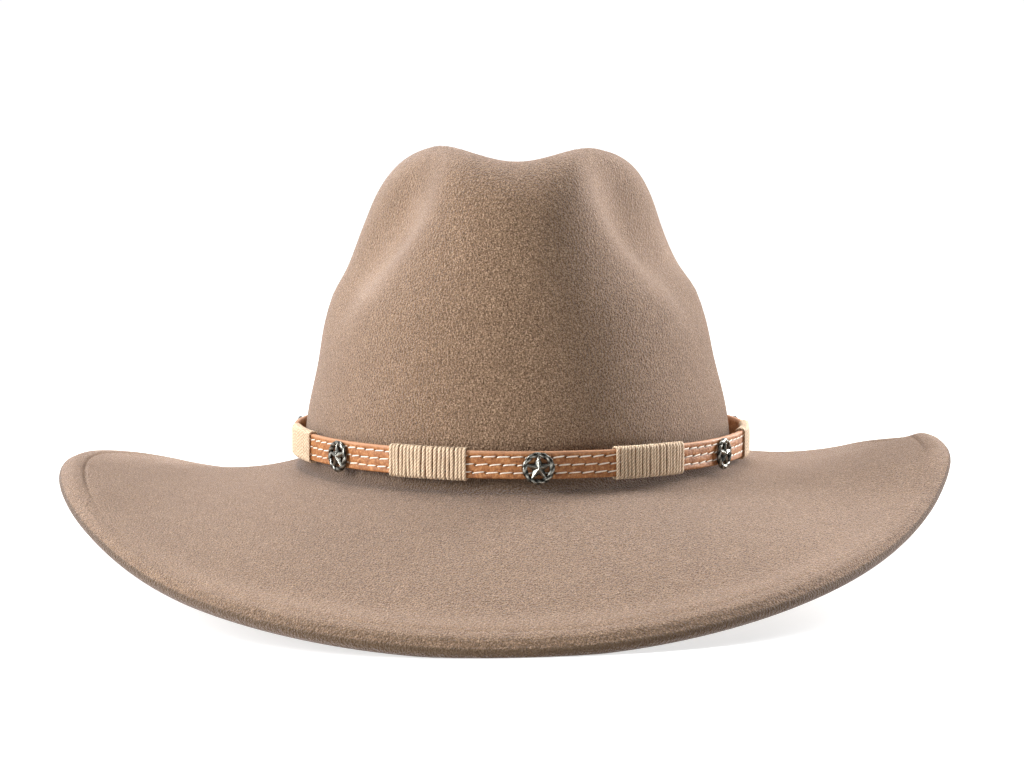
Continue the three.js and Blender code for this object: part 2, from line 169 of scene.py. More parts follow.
def sample_rows(rows, column, at):
    """Smooth curve through one column of a table."""
    table = np.array(rows, float)
    key, value = table[:, 0], table[:, column]
    slope = np.diff(value) / np.diff(key)
    tangent = np.empty(len(key))
    tangent[0], tangent[-1] = slope[0], slope[-1]
    before, after = np.diff(key)[:-1], np.diff(key)[1:]
    tangent[1:-1] = (after * slope[:-1] + before * slope[1:]) / (before + after)
    place = np.clip(at, key[0], key[-1])
    low = np.clip(np.searchsorted(key, place, side="right") - 1, 0, len(key) - 2)
    span = key[low + 1] - key[low]
    t = (place - key[low]) / span
    return hermite(value[low], value[low + 1], tangent[low] * span, tangent[low + 1] * span, t)


def turned_row(row, turn):
    return (row[0] + turn,) + tuple(row[1:])


BRIM_LOOP = (
    turned_row(BRIM_ROWS[-1], -360),
    *BRIM_ROWS,
    turned_row(BRIM_ROWS[0], 360),
    turned_row(BRIM_ROWS[1], 360),
)


def soft_min(a, b, radius):
    h = np.maximum(radius - np.abs(a - b), 0) / radius
    return np.minimum(a, b) - h * h * radius / 4


def top_height(x, y):
    """Height of the top sheet, with its crease and the two ridges beside it."""
    f_from, f_to, f_rise, f_crease = TOP_FRONT
    b_from, b_to, b_rise, b_crease = TOP_BACK
    to_front = smooth_between(-y / FOOT_HALF_LENGTH, f_from, f_to)
    to_back = smooth_between(y / FOOT_HALF_LENGTH, b_from, b_to)
    ridge = CROWN_HEIGHT * (1 + f_rise * to_front + b_rise * to_back)
    depth = CREASE_DEPTH * (1 - (1 - f_crease) * to_front) * (1 - (1 - b_crease) * to_back)
    side = np.abs(x - CREASE_SHIFT)
    across = np.minimum(side / CREASE_HALF_WIDTH, 1)
    beyond = np.maximum(side - CREASE_HALF_WIDTH, 0)
    fall = SHOULDER_FALL * beyond * beyond / CREASE_HALF_WIDTH
    return ridge - depth * (1 + np.cos(np.pi * across)) / 2 - fall - TOP_LEAN * x


def pinch_at(x, y, z):
    """How far the pinch pushes the wall in."""
    upper_along, upper_height, upper_depth = PINCH_UPPER
    lower_along, lower_height, lower_depth = PINCH_LOWER
    y0 = upper_along * FOOT_HALF_LENGTH
    z0 = upper_height * CROWN_HEIGHT
    run_y = (lower_along - upper_along) * FOOT_HALF_LENGTH
    run_z = (lower_height - upper_height) * CROWN_HEIGHT
    t = ((y - y0) * run_y + (z - z0) * run_z) / (run_y * run_y + run_z * run_z)
    on_line = np.clip(t, -PINCH_RUN_UP, 1)
    off_y = y - y0 - on_line * run_y
    off_z = z - z0 - on_line * run_z
    near = np.exp(-(off_y * off_y + off_z * off_z) / PINCH_RADIUS**2)
    share = mixed(upper_depth, lower_depth, np.maximum(on_line, 0))
    side = smooth_between(np.abs(x) / FOOT_HALF_WIDTH, PINCH_INNER, PINCH_OUTER)
    return PINCH_DEPTH * share * near * side


def crown_depth(x, y, z):
    """Depth of points inside the crown's outer surface."""
    height = z / CROWN_HEIGHT
    half_width = FOOT_HALF_WIDTH * np.where(
        x < 0, sample_rows(WALL_ROWS, TO_LEFT, height), sample_rows(WALL_ROWS, TO_RIGHT, height)
    )
    half_length = FOOT_HALF_LENGTH * np.where(
        y < 0, sample_rows(WALL_ROWS, TO_FRONT, height), sample_rows(WALL_ROWS, TO_BACK, height)
    )
    ratio = np.hypot(x / half_width, y / half_length)
    radius = np.where(ratio > TINY, np.hypot(x, y) / np.maximum(ratio, TINY), half_width)
    wall = (1 - ratio) * radius - pinch_at(x, y, z)
    return soft_min(wall, top_height(x, y) - z, SHOULDER_RADIUS)


SEARCH_STEPS = 34


def crown_points(start, direction, depth):
    """Points at a given depth under the crown's surface, on rays from inside."""
    near = np.zeros(len(start))
    far = np.full(len(start), CROWN_FOOT_LENGTH)
    for _ in range(SEARCH_STEPS):
        middle = (near + far) / 2
        p = start + direction * middle[:, None]
        deep = crown_depth(p[:, 0], p[:, 1], p[:, 2]) > depth
        near = np.where(deep, middle, near)
        far = np.where(deep, far, middle)
    return start + direction * near[:, None]


# Directions round the hat
AROUND = 320
ANGLES = np.linspace(0, 2 * np.pi, AROUND, endpoint=False)
LEVEL = np.zeros(AROUND)
FOOT = np.stack([FOOT_HALF_WIDTH * np.sin(ANGLES), -FOOT_HALF_LENGTH * np.cos(ANGLES), LEVEL], 1)
SPINE = np.stack([LEVEL, -SPINE_HALF_LENGTH * np.cos(ANGLES), LEVEL], 1)
OUTWARD = (FOOT - SPINE) / np.linalg.norm(FOOT - SPINE, axis=1)[:, None]
NORMAL = np.stack(
    [np.sin(ANGLES) / FOOT_HALF_WIDTH, -np.cos(ANGLES) / FOOT_HALF_LENGTH, LEVEL], 1
)
NORMAL /= np.linalg.norm(NORMAL, axis=1)[:, None]
UP = np.array([0.0, 0.0, 1.0])


def dome_ring(tilt, depth):
    start = SPINE + UP * DOME_HEIGHT
    direction = OUTWARD * math.cos(tilt) + UP * math.sin(tilt)
    return crown_points(start, direction, depth)


def wall_ring(height, depth):
    return crown_points(SPINE + UP * height, OUTWARD, depth)


def on_foot(out, height):
    return FOOT + NORMAL * out[:, None] + UP * np.asarray(height)[:, None]


DEGREES = (np.degrees(ANGLES) + 180) % 360 - 180
FROM_FRONT = np.abs(DEGREES)
REACH = sample_rows(BRIM_LOOP, BRIM_REACH, DEGREES) * BRIM_WIDTH
EDGE = sample_rows(BRIM_LOOP, BRIM_EDGE, DEGREES) * BRIM_WIDTH
SLOPE_IN = sample_rows(BRIM_LOOP, BRIM_SLOPE_IN, DEGREES)
SLOPE_OUT = sample_rows(BRIM_LOOP, BRIM_SLOPE_OUT, DEGREES)
RUN = REACH - BREAK_RADIUS

# The seam of the welt: a fine groove at the sides that fades toward the front, where the seam
# lies nearer the rim. The welt swells beside it. The angles are degrees from the front.
GROOVE_HALF = 0.7
WELT_SWELL = 0.45
SEAM = mixed(6.0, 10.0, smooth_between(FROM_FRONT, 45, 80))
GROOVE_DEPTH = mixed(0.10, 0.70, smooth_between(FROM_FRONT, 60, 84))


def brim_section(share):
    """Distance outward and height of the brim's upper surface, without the groove."""
    out = BREAK_RADIUS + RUN * share
    turned = np.maximum((out - (REACH - WELT_WIDTH)) / WELT_WIDTH, 0)
    height = hermite(SLOPE_IN * BREAK_RADIUS, EDGE, SLOPE_IN * RUN, SLOPE_OUT * RUN, share)
    return out - WELT_PULL * turned**2, height - WELT_TURN * turned**2


def brim_square(share):
    """Unit direction square to the brim's upper surface, as outward and up."""
    step = 1e-3
    out0, up0 = brim_section(share)
    out1, up1 = brim_section(share + step)
    length = np.hypot(out1 - out0, up1 - up0)
    return -(up1 - up0) / length, (out1 - out0) / length


def brim_top(share):
    """Ring of the upper surface, with the welt's groove and swell."""
    out, up = brim_section(share)
    from_edge = (1 - share) * RUN
    beside = (from_edge - SEAM) / GROOVE_HALF
    into = share_between(from_edge, SEAM, 0)
    lift = WELT_SWELL * np.sin(np.pi * into) ** 2 - GROOVE_DEPTH * np.exp(-beside * beside)
    n_out, n_up = brim_square(share)
    return on_foot(out + n_out * lift, up + n_up * lift)


def brim_under(share, thickness):
    out, up = brim_section(share)
    n_out, n_up = brim_square(share)
    return on_foot(out - n_out * thickness, up - n_up * thickness)


def bend(start, corner, end, t):
    return (1 - t) ** 2 * start + 2 * t * (1 - t) * corner + t * t * end


def spaced(start, end, count):
    return [start + (end - start) * i / count for i in range(count)]


# Rings in each stretch of the felt's skin, and how they crowd toward the middle of the top
DOME_RINGS = 46
WALL_RINGS = 22
BEND_RINGS = 7
BRIM_RINGS = 34
SEAM_RINGS = 12
WELT_RINGS = 14
RIM_RINGS = 12
UNDER_RINGS = 27
INNER_BEND_RINGS = 5
INNER_WALL_RINGS = 14
INNER_DOME_RINGS = 30
DOME_CROWDING = 0.8
SEAM_MARGIN = 2.2

# Rim, as shares of its thickness: where its underside starts, inward and down from the edge, the
# handles of the curve between them, and the welt's depth before it thins to the felt's own
RIM_IN = 0.85
RIM_DOWN = 0.95
EDGE_HANDLE = 0.42
UNDER_HANDLE_OUT = 1.0
UNDER_HANDLE_DOWN = 0.12
UNDER_WELT = 1.06 * WELT_UNDER_SHARE
UNDER_THINS = (0.35, 0.85)


def dome_rings(count, depth):
    """Rings of the dome, from near the middle of the top to its foot."""
    tilts = [math.pi / 2 * (1 - i / count) ** DOME_CROWDING for i in range(1, count + 1)]
    return [dome_ring(tilt, depth) for tilt in tilts]


def rim_rings():
    """Rings on a cubic curve from the brim's edge round to its underside."""
    edge_out, edge_up = brim_section(np.ones(AROUND))
    n_out, n_up = brim_square(np.ones(AROUND))
    under_out = edge_out - RIM_IN * RIM_THICKNESS
    under_up = edge_up - RIM_DOWN * RIM_THICKNESS
    handle = EDGE_HANDLE * RIM_THICKNESS
    corners = (
        (edge_out, edge_up),
        (edge_out + n_up * handle, edge_up - n_out * handle),
        (under_out + UNDER_HANDLE_OUT * RIM_THICKNESS, under_up - UNDER_HANDLE_DOWN * RIM_THICKNESS),
        (under_out, under_up),
    )
    rings = []
    for t in spaced(0, 1, RIM_RINGS):
        weights = ((1 - t) ** 3, 3 * t * (1 - t) ** 2, 3 * t * t * (1 - t), t**3)
        out, up = (sum(w * corner[i] for w, corner in zip(weights, corners)) for i in (0, 1))
        rings.append(on_foot(out, up))
    return rings


def under_rings():
    """Rings of the brim's underside, from the rim in to the bend."""
    start = 1 - RIM_IN * RIM_THICKNESS / RUN
    welt = UNDER_WELT * RIM_THICKNESS
    rings = []
    for t in spaced(0, 1, UNDER_RINGS):
        share = start * (1 - t)
        thins = smooth_between((start - share) * RUN / WELT_WIDTH, *UNDER_THINS)
        rings.append(brim_under(share, mixed(welt, FELT_THICKNESS, thins)))
    return rings


def felt_rings():
    """Rings of the felt's skin, from the top out to the rim and back under to the top, with the
    first ring of the bend, the shares of the brim's width and the first ring of the rim."""
    # The dome's last ring is the wall's first
    rings = dome_rings(DOME_RINGS, 0)[:-1]
    rings += [wall_ring(z, 0) for z in spaced(DOME_HEIGHT, BREAK_RADIUS, WALL_RINGS)]
    bend_first = len(rings)
    foot_wall = wall_ring(BREAK_RADIUS, 0)
    brim_start = on_foot(*brim_section(np.zeros(AROUND)))
    rings += [bend(foot_wall, FOOT, brim_start, t) for t in spaced(0, 1, BEND_RINGS)]

    before = (RUN - SEAM - SEAM_MARGIN) / RUN
    after = (RUN - SEAM + SEAM_MARGIN) / RUN
    shares = [before * t for t in spaced(0, 1, BRIM_RINGS)]
    shares += [mixed(before, after, t) for t in spaced(0, 1, SEAM_RINGS)]
    shares += [mixed(after, 1, t) for t in spaced(0, 1, WELT_RINGS)]
    rings += [brim_top(share) for share in shares]

    rim_first = len(rings)
    rings += rim_rings() + under_rings()
    inner_wall = wall_ring(BREAK_RADIUS, FELT_THICKNESS)
    inner_start = brim_under(np.zeros(AROUND), FELT_THICKNESS)
    inner_corner = on_foot(np.full(AROUND, -FELT_THICKNESS), np.full(AROUND, -FELT_THICKNESS))
    for t in spaced(0, 1, INNER_BEND_RINGS):
        rings.append(bend(inner_start, inner_corner, inner_wall, t))
    for z in spaced(BREAK_RADIUS, DOME_HEIGHT, INNER_WALL_RINGS):
        rings.append(wall_ring(z, FELT_THICKNESS))
    rings += reversed(dome_rings(INNER_DOME_RINGS, FELT_THICKNESS))
    return rings, bend_first, shares, rim_first


def find_rest(points):
    """Tilt that brings front and back of the rim down together, and the offset onto the ground."""
    front = points[points[:, 1] < 0]
    back = points[points[:, 1] > 0]
    front = front[front[:, 2].argmin()]
    back = back[back[:, 2].argmin()]
    tilt = -math.atan2(back[2] - front[2], back[1] - front[1])
    turn = np.array(Matrix.Rotation(tilt, 3, "X"))
    turned = points @ turn.T
    low, high = turned.min(0), turned.max(0)
    offset = -(low + high) / 2
    offset[2] = -low[2] - REST_FLAT
    return turn, offset


def new_object(name, vertices, faces, material):
    """Smooth mesh object from points in millimetres, already in the row frame."""
    mesh = bpy.data.meshes.new(name)
    mesh.from_pydata((np.asarray(vertices).reshape(-1, 3) * MM).tolist(), [], faces)
    mesh.materials.append(material)
    mesh.validate()
    mesh.polygons.foreach_set("use_smooth", [True] * len(mesh.polygons))
    mesh.update()
    obj = bpy.data.objects.new(name, mesh)
    bpy.context.scene.collection.objects.link(obj)
    return obj


def paint(obj, name, values):
    """A number for each vertex, which the material reads."""
    layer = obj.data.attributes.new(name, "FLOAT", "POINT")
    layer.data.foreach_set("value", np.asarray(values, np.float32).ravel())


def grid_faces(rows, columns, close_rows=False):
    """Quads over rows of points, each row a closed loop."""
    faces = []
    for r in range(rows if close_rows else rows - 1):
        here, below = r * columns, (r + 1) % rows * columns
        for c in range(columns):
            right = (c + 1) % columns
            faces.append((here + c, below + c, below + right, here + right))
    return faces


def moved_faces(faces, first):
    """The same faces over points that start at another number."""
    return [tuple(first + v for v in face) for face in faces]


# Materials

MAP_ENDS = ("From Min", "From Max", "To Min", "To Max")


class Nodes:
    """Short way to write a material's nodes."""

    def __init__(self, name):
        self.material = bpy.data.materials.new(name)
        self.material.use_nodes = True
        self.tree = self.material.node_tree
        self.shader = self.tree.nodes["Principled BSDF"]
        self.coords = self.tree.nodes.new("ShaderNodeTexCoord").outputs["Object"]

    def set(self, **values):
        for key, value in values.items():
            self.shader.inputs[key.replace("_", " ")].default_value = value

    def link(self, a, b):
        self.tree.links.new(a, b)

    def scaled(self, x, y, z):
        node = self.tree.nodes.new("ShaderNodeMapping")
        node.inputs["Scale"].default_value = (x, y, z)
        self.link(self.coords, node.inputs["Vector"])
        return node.outputs["Vector"]

    def noise(self, scale, detail, roughness, distortion=0.0):
        node = self.tree.nodes.new("ShaderNodeTexNoise")
        node.inputs["Scale"].default_value = scale
        node.inputs["Detail"].default_value = detail
        node.inputs["Roughness"].default_value = roughness
        node.inputs["Distortion"].default_value = distortion
        self.link(self.coords, node.inputs["Vector"])
        return node.outputs["Fac"]

    def cells(self, scale, vector=None):
        node = self.tree.nodes.new("ShaderNodeTexVoronoi")
        node.inputs["Scale"].default_value = scale
        self.link(vector or self.coords, node.inputs["Vector"])
        return node.outputs["Distance"]

    def axis(self, name):
        node = self.tree.nodes.new("ShaderNodeSeparateXYZ")
        self.link(self.coords, node.inputs["Vector"])
        return node.outputs[name]

    def painted(self, name):
        node = self.tree.nodes.new("ShaderNodeAttribute")
        node.attribute_name = name
        return node.outputs["Fac"]

    def map(self, value, low, high, to_low=0.0, to_high=1.0):
        node = self.tree.nodes.new("ShaderNodeMapRange")
        node.clamp = True
        for key, number in zip(MAP_ENDS, (low, high, to_low, to_high)):
            node.inputs[key].default_value = number
        self.link(value, node.inputs["Value"])
        return node.outputs["Result"]

    def math(self, kind, a, b):
        node = self.tree.nodes.new("ShaderNodeMath")
        node.operation = kind
        for socket, value in zip(node.inputs, (a, b)):
            if isinstance(value, (int, float)):
                socket.default_value = value
            else:
                self.link(value, socket)
        return node.outputs["Value"]

    def mix(self, factor, a, b):
        node = self.tree.nodes.new("ShaderNodeMix")
        node.data_type = "RGBA"
        node.clamp_factor = True
        factor_in, _, _, _, _, _, a_in, b_in = node.inputs[:8]
        self.link(factor, factor_in)
        for socket, value in ((a_in, a), (b_in, b)):
            if isinstance(value, tuple):
                socket.default_value = (*value, 1.0)
            else:
                self.link(value, socket)
        return node.outputs[2]

    def bump(self, height, strength, distance, normal=None):
        node = self.tree.nodes.new("ShaderNodeBump")
        node.inputs["Strength"].default_value = strength
        node.inputs["Distance"].default_value = distance
        self.link(height, node.inputs["Height"])
        if normal is not None:
            self.link(normal, node.inputs["Normal"])
        return node.outputs["Normal"]

    def colour(self, socket):
        self.link(socket, self.shader.inputs["Base Color"])

    def rough(self, socket):
        self.link(socket, self.shader.inputs["Roughness"])

    def normal(self, socket):
        self.link(socket, self.shader.inputs["Normal"])


FELT_MID = (0.300, 0.190, 0.116)
FELT_DARK = (0.115, 0.068, 0.038)
FELT_LIGHT = (0.600, 0.420, 0.285)
FELT_RUBBED_AND_SHADED = (0.085, 0.054, 0.030)
FELT_BAND_SHADOW = (0.055, 0.034, 0.020)
FELT_PALE_HIGHLIGHT = (0.660, 0.470, 0.350)


def felt_material():
    m = Nodes("felt")
    cloud = m.noise(24, 3, 0.5)
    speckle = m.noise(1900, 3, 0.65)
    fibre = m.cells(1250, m.scaled(1.0, 1.0, 0.72))
    fine = m.noise(3300, 2, 0.6)
    base = m.mix(m.map(speckle, 0.39, 0.50), FELT_DARK, FELT_MID)
    base = m.mix(m.map(speckle, 0.53, 0.66), base, FELT_LIGHT)
    base = m.mix(m.map(cloud, 0.35, 0.65, 0.10, 0.0), base, FELT_DARK)
    base = m.mix(m.map(m.noise(150, 3, 0.6), 0.35, 0.65, 0.16, 0.0), base, FELT_DARK)
    # Painted highlight: the streaks beside the dents and the band above the welt's seam
    base = m.mix(m.math("MULTIPLY", m.painted("pale"), 0.26), base, FELT_PALE_HIGHLIGHT)
    # Painted shadow of the band on the foot of the crown
    base = m.mix(m.math("MULTIPLY", m.painted("foot"), 0.70), base, FELT_BAND_SHADOW)
    # The rim and the welt are darker: partly wear, partly painted shade where the rim turns under
    ragged = m.map(m.noise(700, 4, 0.65), 0.25, 0.75, -0.26, 0.26)
    rubbed_and_shaded = m.math("ADD", m.painted("edge"), ragged)
    base = m.mix(m.map(rubbed_and_shaded, 0.36, 0.72, 0.0, 0.75), base, FELT_RUBBED_AND_SHADED)
    m.colour(base)
    m.set(Roughness=0.95, Specular_IOR_Level=0.10, Sheen_Weight=0.46, Sheen_Roughness=0.40)
    m.set(Sheen_Tint=(1.0, 0.91, 0.93, 1.0))
    nap = m.math("ADD", m.math("MULTIPLY", fibre, 0.8), m.math("MULTIPLY", fine, 0.7))
    first = m.bump(m.noise(220, 4, 0.6), 0.10, 0.001)
    m.normal(m.bump(nap, 1.0, 0.0009, first))
    return m.material


LEATHER_MID = (0.400, 0.155, 0.045)
LEATHER_DARK = (0.200, 0.066, 0.018)
LEATHER_LIGHT = (0.560, 0.270, 0.110)
LEATHER_EDGE_AND_HIGHLIGHT = (0.520, 0.270, 0.150)
LEATHER_HOLE_SHADE = (0.018, 0.009, 0.005)


def leather_material():
    m = Nodes("leather")
    blotch = m.noise(170, 4, 0.6, distortion=0.6)
    grain = m.cells(1300)
    pores = m.noise(2600, 3, 0.65)
    mottle = m.noise(720, 4, 0.7)
    base = m.mix(m.map(blotch, 0.30, 0.60, 0.25, 1.0), LEATHER_DARK, LEATHER_MID)
    base = m.mix(m.map(mottle, 0.52, 0.64, 0.0, 0.90), base, LEATHER_LIGHT)
    base = m.mix(m.map(mottle, 0.47, 0.36, 0.0, 0.95), base, LEATHER_DARK)
    base = m.mix(m.map(pores, 0.52, 0.70, 0.0, 0.45), base, LEATHER_DARK)
    # The top edge is paler: the cut edge's colour, and partly a painted highlight
    base = m.mix(m.math("MULTIPLY", m.painted("edge"), 0.75), base, LEATHER_EDGE_AND_HIGHLIGHT)
    # Painted shade in the stitch holes
    base = m.mix(m.painted("hole_shade"), base, LEATHER_HOLE_SHADE)
    m.colour(base)
    m.rough(m.map(blotch, 0.3, 0.7, 0.62, 0.44))
    m.set(Specular_IOR_Level=0.42)
    coarse = m.bump(mottle, 0.45, 0.0004, m.bump(grain, 0.35, 0.0004))
    m.normal(m.bump(pores, 0.30, 0.0003, coarse))
    return m.material


def thread_material(name, light, dark, rough, sheen):
    m = Nodes(name)
    fibre = m.noise(4200, 3, 0.6)
    soft = m.noise(420, 2, 0.5)
    base = m.mix(m.map(fibre, 0.28, 0.50), dark, light)
    base = m.mix(m.map(soft, 0.35, 0.7, 0.20, 0.0), base, dark)
    # Painted shade in the valleys between the strands and where the stitches dive into their holes
    base = m.mix(m.map(m.painted("valley_shade"), 0.15, 0.85, 0.0, 0.95), base, dark)
    m.colour(base)
    m.set(Roughness=rough, Specular_IOR_Level=0.3, Sheen_Weight=sheen, Sheen_Roughness=0.4)
    m.normal(m.bump(fibre, 0.35, 0.0002))
    return m.material


METAL_DARK = (0.016, 0.015, 0.012)
METAL_BRIGHT = (0.50, 0.49, 0.44)


def metal_material():
    m = Nodes("metal")
    worn = m.noise(900, 4, 0.6)
    fine = m.noise(3600, 3, 0.6)
    shine = m.math("MULTIPLY", m.painted("height"), m.map(worn, 0.30, 0.62, 0.35, 1.0))
    m.colour(m.mix(shine, METAL_DARK, METAL_BRIGHT))
    m.rough(m.map(worn, 0.3, 0.7, 0.36, 0.18))
    m.set(Metallic=1.0)
    m.normal(m.bump(fine, 0.22, 0.0003))
    return m.material


THREAD_LIGHT = (0.97, 0.90, 0.80)
THREAD_DARK = (0.62, 0.50, 0.38)
CORD_LIGHT = (0.95, 0.76, 0.55)
CORD_DARK = (0.24, 0.120, 0.048)

FELT = felt_material()
LEATHER = leather_material()
STITCH_THREAD = thread_material("stitch_thread", THREAD_LIGHT, THREAD_DARK, 0.6, 0.1)
WAXED_CORD = thread_material("waxed_cord", CORD_LIGHT, CORD_DARK, 0.55, 0.15)
METAL = metal_material()

# Marks on the felt: the rim and the welt are darker, most at the front, partly wear and partly
# painted shade where the rim turns under; the felt above the seam is paler, a painted highlight;
# and a painted shadow darkens the foot of the crown, under the band. FRONT_FADE is in degrees
# from the front, and the ring counts that begin and end the rim's darkening start from the rim's
# first ring.
FRONT_FADE = (68, 23)
RUB_AND_SHADE_BEGINS = (-5, 3)
RUB_AND_SHADE_ENDS = (24, 12)
SIDE_RUB_AND_SHADE = 0.3
WELT_RUB_AND_SHADE = 0.50
WELT_RUB_AND_SHADE_FADE = 4.0
PALE_HIGHLIGHT_WEIGHT = 0.75
PALE_HALF = 5
PALE_ABOVE_SEAM = 3
# Painted shadow under the band: its strength, and the distances out from the foot over which it
# fades
BAND_SHADOW_WEIGHT = 0.90
BAND_SHADOW_FADE = (4.2, 2.6)

# Painted highlight streaks along the lower edges of the crown's two dents: half width, then
# points across from the middle and down from the top
STREAK_HIGHLIGHT_WEIGHT = 0.8
STREAKS = (
    (5.0, ((-37, 24), (-46, 36), (-59, 56))),
    (8.5, ((36, 17), (48, 33), (60, 48))),
)


def spine_faces(rows):
    """Faces that close the top and its underside. The rays of the first and last rings end on
    the spine, so each direction is paired there with its mirror image across the spine."""
    last = (rows - 1) * AROUND
    faces = []
    for c in range(AROUND // 2):
        quad = (c, c + 1, AROUND - c - 1, (AROUND - c) % AROUND)
        loop = tuple(dict.fromkeys(quad))
        faces.append(loop)
        faces.append(tuple(last + v for v in reversed(loop)))
    return faces


def streak_highlight(x, down):
    """Strength of the painted highlight streaks at points across and down from the top."""
    shade = np.zeros_like(x)
    for half_width, line in STREAKS:
        for (x0, down0), (x1, down1) in zip(line, line[1:]):
            run_x, run_down = x1 - x0, down1 - down0
            t = (x - x0) * run_x + (down - down0) * run_down
            t = np.clip(t / (run_x**2 + run_down**2), 0, 1)
            off = np.hypot(x - x0 - t * run_x, down - down0 - t * run_down)
            shade = np.maximum(shade, STREAK_HIGHLIGHT_WEIGHT * np.exp(-((off / half_width) ** 2)))
    return shade


def paint_felt_wear_and_light(obj, points, bend_first, shares, rim_first):
    """Paints the felt's darker rim and welt, partly wear and partly painted shade, its painted
    highlights, and the painted shadow under the band.
    """
    x, y, z = points.reshape(-1, AROUND, 3).transpose(2, 0, 1)
    ring = np.arange(len(x))[:, None]
    frontness = smooth_between(FROM_FRONT, *FRONT_FADE)
    rub_and_shade = share_between(ring - rim_first, *RUB_AND_SHADE_BEGINS) * share_between(ring - rim_first, *RUB_AND_SHADE_ENDS)
    edge = rub_and_shade * np.ones(AROUND)
    pale = np.zeros_like(edge)
    for i, share in enumerate(shares, rim_first - len(shares)):
        from_rim = (1 - share) * RUN
        welt = WELT_RUB_AND_SHADE * smooth_between(from_rim, SEAM, SEAM - WELT_RUB_AND_SHADE_FADE) * frontness
        above = (from_rim - SEAM - PALE_ABOVE_SEAM) / PALE_HALF
        edge[i] = np.maximum(edge[i] * mixed(SIDE_RUB_AND_SHADE, 1, frontness), welt)
        # Painted highlight on the band above the seam, strongest at the front
        pale[i] = PALE_HIGHLIGHT_WEIGHT * frontness * np.exp(-(above**2))
    # Painted highlight streaks on the front of the crown
    crown_front = (ring < bend_first) & (y < 0)
    pale = np.maximum(pale, np.where(crown_front, streak_highlight(x, z.max() - z), 0))
    oval = np.hypot(x / FOOT_HALF_WIDTH, y / FOOT_HALF_LENGTH)
    beyond = (1 - 1 / oval) * np.hypot(x, y)
    by_foot = (ring >= bend_first) & (ring < rim_first)
    # Painted shadow under the band, fading outward from the crown's foot
    foot = np.where(by_foot, BAND_SHADOW_WEIGHT * smooth_between(beyond, *BAND_SHADOW_FADE), 0)
    paint(obj, "edge", edge)
    paint(obj, "pale", pale)
    paint(obj, "foot", foot)


def build_felt():
    """The felt as one closed skin, with the turn and the offset that lay the hat on the ground."""
    rings, bend_first, shares, rim_first = felt_rings()
    points = np.concatenate(rings)
    turn, offset = find_rest(points)
    settled = points @ turn.T + offset
    settled[:, 2] = np.maximum(settled[:, 2], 0)
    faces = grid_faces(len(rings), AROUND) + spine_faces(len(rings))
    obj = new_object("felt", settled, faces, FELT)
    paint_felt_wear_and_light(obj, points, bend_first, shares, rim_first)
    return obj, turn, offset


felt, TURN, OFFSET = build_felt()


def settle(points):
    return np.asarray(points, float) @ TURN.T + OFFSET


# Band path: an oval round the foot of the crown, by length from the front toward +X
PATH_STEPS = 1440
CORD_ROOM = FELT_GAP + CORD_THICKNESS + FIT_GAP
BAND_HALF_WIDTH = FOOT_HALF_WIDTH + CORD_ROOM + BAND_SHIFT + STRAP_THICKNESS / 2
BAND_HALF_LENGTH = FOOT_HALF_LENGTH + CORD_ROOM + STRAP_THICKNESS / 2
BAND_HEIGHT = BAND_LIFT + STRAP_HEIGHT / 2
PATH_ANGLES = np.linspace(0, 2 * np.pi, PATH_STEPS + 1)
PATH_X = BAND_SHIFT + BAND_HALF_WIDTH * np.sin(PATH_ANGLES)
PATH_Y = -BAND_HALF_LENGTH * np.cos(PATH_ANGLES)
PATH_LENGTH = np.concatenate([[0], np.cumsum(np.hypot(np.diff(PATH_X), np.diff(PATH_Y)))])
BAND_TOTAL = PATH_LENGTH[-1]
STATION_STEP = BAND_TOTAL / STATION_COUNT


def station(index, piece=""):
    """Length along the band of an even place, and of the piece that sits near it."""
    return STATION_TURN + index * STATION_STEP + BAND_SHIFTS.get(piece, 0.0)


def band_points(length, out, up):
    """Points at lengths along the band, moved outward and up from its centre line."""
    length, out, up = np.broadcast_arrays(*(np.asarray(v, float) for v in (length, out, up)))
    angle = np.interp(length % BAND_TOTAL, PATH_LENGTH, PATH_ANGLES)
    n = np.stack([np.sin(angle) / BAND_HALF_WIDTH, -np.cos(angle) / BAND_HALF_LENGTH], -1)
    n /= np.linalg.norm(n, axis=-1, keepdims=True)
    x = BAND_SHIFT + BAND_HALF_WIDTH * np.sin(angle) + n[..., 0] * out
    y = -BAND_HALF_LENGTH * np.cos(angle) + n[..., 1] * out
    lean = np.array(Matrix.Rotation(BAND_PITCH, 3, "X") @ Matrix.Rotation(BAND_LEAN, 3, "Y"))
    p = np.stack([x, y, up], -1) @ lean.T
    p[..., 2] += BAND_HEIGHT
    return settle(p)


# Strap: steps along it, over its face, round a front corner and down its back, the chamfer and
# the crown of its edges, and a slow wave in its face
STRAP_STEPS = 1560
FACE_STEPS = 30
CORNER_STEPS = 6
BACK_STEPS = 6
BACK_CHAMFER = 0.2
EDGE_MIDDLE = 0.1
EDGE_CROWN = 0.02
WAVE_HEIGHT = 0.05
WAVE_COUNT = 23

